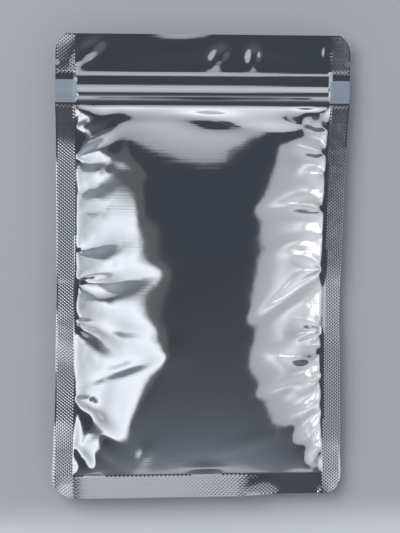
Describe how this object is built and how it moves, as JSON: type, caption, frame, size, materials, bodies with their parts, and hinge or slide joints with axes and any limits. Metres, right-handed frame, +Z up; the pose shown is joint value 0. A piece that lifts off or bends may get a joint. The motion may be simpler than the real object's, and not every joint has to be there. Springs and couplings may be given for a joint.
{
  "type": "resealable plastic bag",
  "caption": "Filled flat bag of silver laminate film with heat-sealed sides and bottom, a press-to-close zip below an open header, and tear notches beside it.",
  "frame": {"origin": "on the surface that the bag lies on, under the middle of its outline", "axes": "+X across the bag to its right side seal, +Y from the bottom seal to the mouth, +Z up out of the front film"},
  "size_m": [0.14, 0.22, 0.0281],
  "materials": {
    "foil_film": "glossy metallised laminate film, with a fine crosshatch pressed into the heat seals"
  },
  "bodies": {
    "root": {"foil_zip_bag": "foil_film"}
  },
  "joints": []
}
